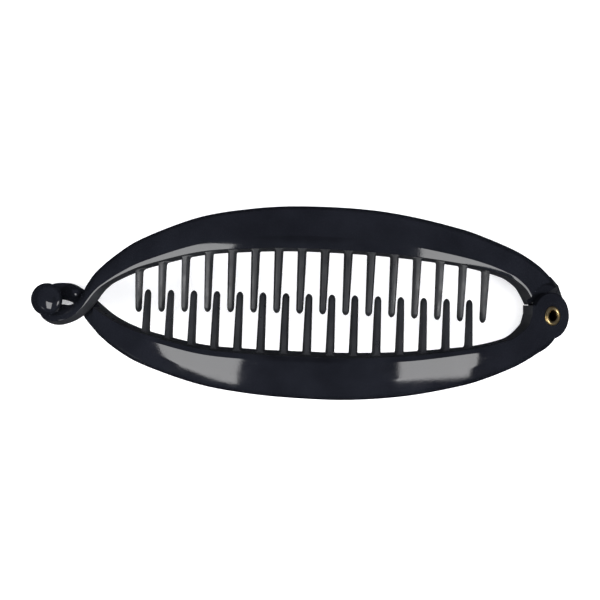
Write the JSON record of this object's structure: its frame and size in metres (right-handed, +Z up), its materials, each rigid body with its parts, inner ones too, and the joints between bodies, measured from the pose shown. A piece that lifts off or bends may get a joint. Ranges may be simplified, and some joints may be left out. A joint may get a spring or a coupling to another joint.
{
  "type": "banana hair clip",
  "caption": "Arched hair clip of two toothed comb halves, hinged on an eyelet at one end and hooked over a peg at the other.",
  "frame": {"origin": "bottom centre of the bounding box: on the surface that the two ends rest on, below the middle of the closed clip", "axes": "+X runs along the clip towards the hinge, +Y towards the half that carries the hook, +Z up through the convex front"},
  "size_m": [0.1213, 0.0419, 0.0253],
  "materials": {
    "black_plastic_upper": "high gloss black, injection moulded",
    "black_plastic_lower": "high gloss black, injection moulded",
    "brass_eyelet": "bright brass-plated, lightly satin"
  },
  "bodies": {
    "lower_half": {"lower_comb_half": "black_plastic_lower"},
    "eyelet": {"hinge_eyelet": "brass_eyelet"},
    "upper_half": {"upper_comb_half": "black_plastic_upper"}
  },
  "joints": [
    {"name": "latch_flex", "type": "hinge", "parent": "lower_half", "child": "eyelet", "pos_m": [0.05541, -0.00168, 0.00437], "axis": [0, 1, 0], "range_deg": [0, 0.8], "stiffness_Nm_per_rad": 4},
    {"name": "hinge_open", "type": "hinge", "parent": "eyelet", "child": "upper_half", "pos_m": [0.05541, -0.00168, 0.00437], "axis": [-0.5736, 0, -0.8192], "range_deg": [0, 110]}
  ]
}
